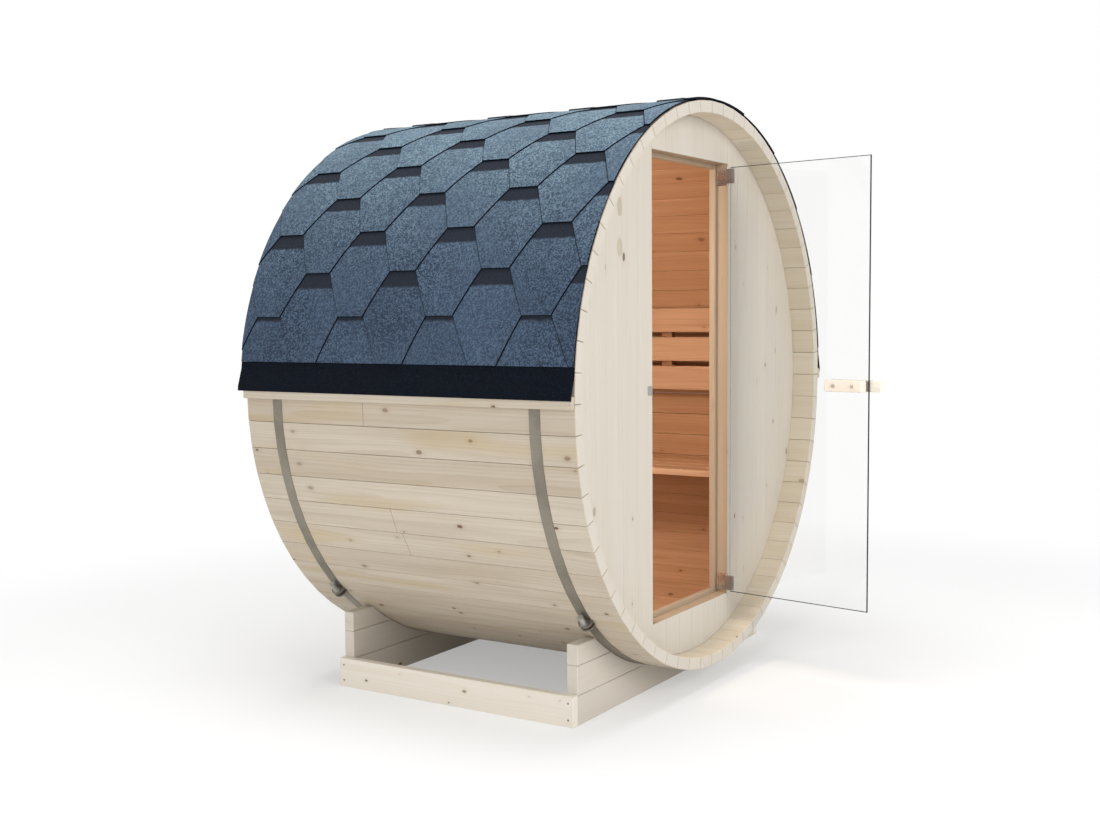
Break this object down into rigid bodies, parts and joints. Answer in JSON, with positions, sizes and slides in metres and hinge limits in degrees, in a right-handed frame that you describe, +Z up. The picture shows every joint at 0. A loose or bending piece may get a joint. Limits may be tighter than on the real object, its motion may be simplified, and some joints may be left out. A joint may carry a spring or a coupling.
{
  "type": "outdoor barrel sauna",
  "caption": "Small outdoor sauna: a timber barrel of staves held by steel bands on a cradle, with a shingled roof, a recessed front wall, a glass door that swings out, and a bench inside.",
  "frame": {"origin": "on the ground under the middle of the front cradle, on the barrel's middle plane", "axes": "+Z up, +Y along the barrel axis from the door to the back wall, +X to the right seen from the door side"},
  "size_m": [1.8842, 1.7247, 1.9194],
  "materials": {
    "spruce": "planed, untreated",
    "pale_spruce": "planed, untreated",
    "bench_wood": "planed, untreated",
    "handle_wood": "smooth",
    "hinge_steel": "satin",
    "band_steel": "galvanised, dull",
    "shingle": "mineral granules on bitumen",
    "tar_sheet": "matt bitumen",
    "glass": "clear, polished edges"
  },
  "bodies": {
    "barrel": {"floor_staves": "spruce", "left_staves": "spruce", "right_staves": "spruce", "top_staves": "spruce", "left_eave_batten": "spruce", "right_eave_batten": "spruce", "front_cradle_lower": "spruce", "front_cradle_middle": "spruce", "front_cradle_upper": "spruce", "rear_cradle_lower": "spruce", "rear_cradle_middle": "spruce", "rear_cradle_upper": "spruce", "left_side_board": "spruce", "right_side_board": "spruce", "front_wall_left": "pale_spruce", "front_wall_right": "pale_spruce", "front_wall_over_door": "pale_spruce", "front_wall_under_door": "pale_spruce", "back_wall": "pale_spruce", "left_door_casing": "pale_spruce", "right_door_casing": "pale_spruce", "top_door_casing": "pale_spruce", "bottom_door_casing": "pale_spruce", "bench_slats": "bench_wood", "bench_bearers": "bench_wood", "backrest_boards": "bench_wood", "backrest_cleats": "bench_wood", "upper_hinge_plate": "hinge_steel", "lower_hinge_plate": "hinge_steel", "door_catch": "hinge_steel", "front_band": "band_steel", "rear_band": "band_steel", "band_lugs": "band_steel", "band_bolts": "band_steel", "left_roof_shingles": "shingle", "right_roof_shingles": "shingle", "ridge_shingles": "shingle", "left_starter_strip": "tar_sheet", "right_starter_strip": "tar_sheet"},
    "door": {"glass_leaf": "glass", "upper_hinge_clamp": "hinge_steel", "lower_hinge_clamp": "hinge_steel", "outer_handle": "handle_wood", "inner_handle": "handle_wood", "handle_bolts": "hinge_steel"}
  },
  "joints": [
    {"name": "door_hinge", "type": "hinge", "parent": "barrel", "child": "door", "pos_m": [0.2545, -0.089, 0.985], "axis": [0, 0, 1], "range_deg": [-81, 39]}
  ]
}
